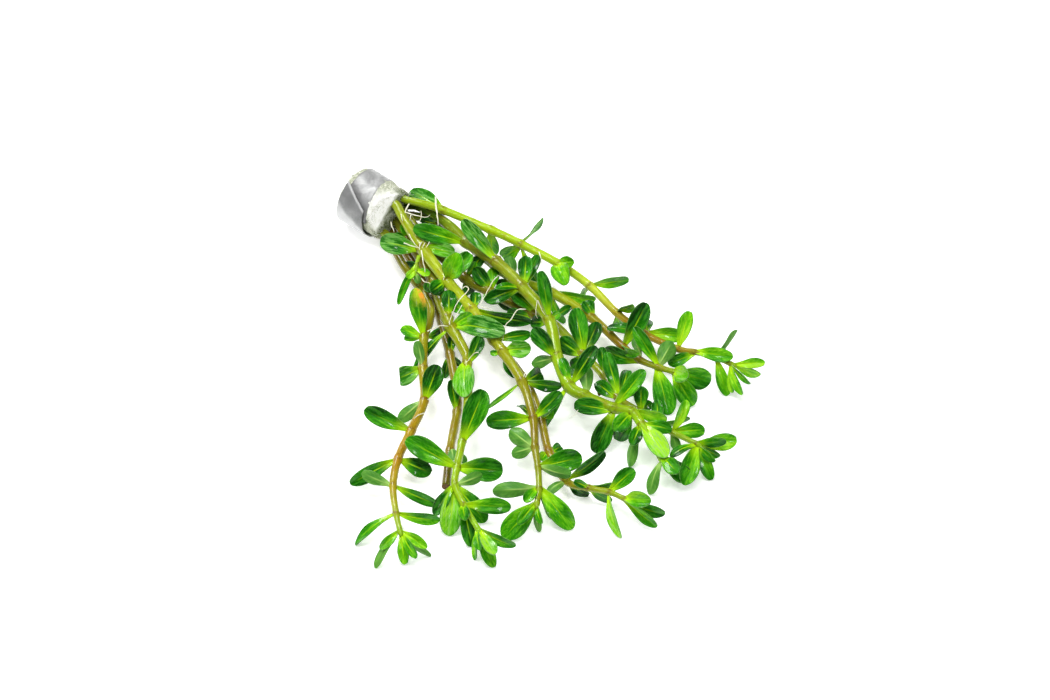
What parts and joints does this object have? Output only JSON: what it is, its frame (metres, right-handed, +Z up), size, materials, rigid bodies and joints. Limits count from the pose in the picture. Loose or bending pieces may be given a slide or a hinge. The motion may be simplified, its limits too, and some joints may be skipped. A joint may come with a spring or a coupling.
{
  "type": "bonsai rotala bunch",
  "caption": "Bunch of bonsai rotala stems, rooted in a rock wool plug wrapped in a soft metal strip, lying down.",
  "frame": {"origin": "centre of the bunch's footprint, on the surface that it lies on", "axes": "+Z up; +X to the right and +Y away from the viewer as the picture shows the bunch; the plug is at -X, +Y"},
  "size_m": [0.1286, 0.1534, 0.0219],
  "materials": {
    "leafy_shoot": "satin",
    "bare_stem": "satin",
    "rock_wool": "matte",
    "soft_metal": "satin"
  },
  "bodies": {
    "root": {"wool_plug": "rock_wool", "metal_strip": "soft_metal", "shoot_far_right": "leafy_shoot", "shoot_right_inner": "leafy_shoot", "shoot_crossing": "leafy_shoot", "shoot_right_low": "leafy_shoot", "shoot_middle": "leafy_shoot", "shoot_middle_low": "leafy_shoot", "shoot_left_inner": "leafy_shoot", "shoot_bare": "bare_stem", "shoot_left": "leafy_shoot", "side_shoot": "leafy_shoot"}
  },
  "joints": []
}
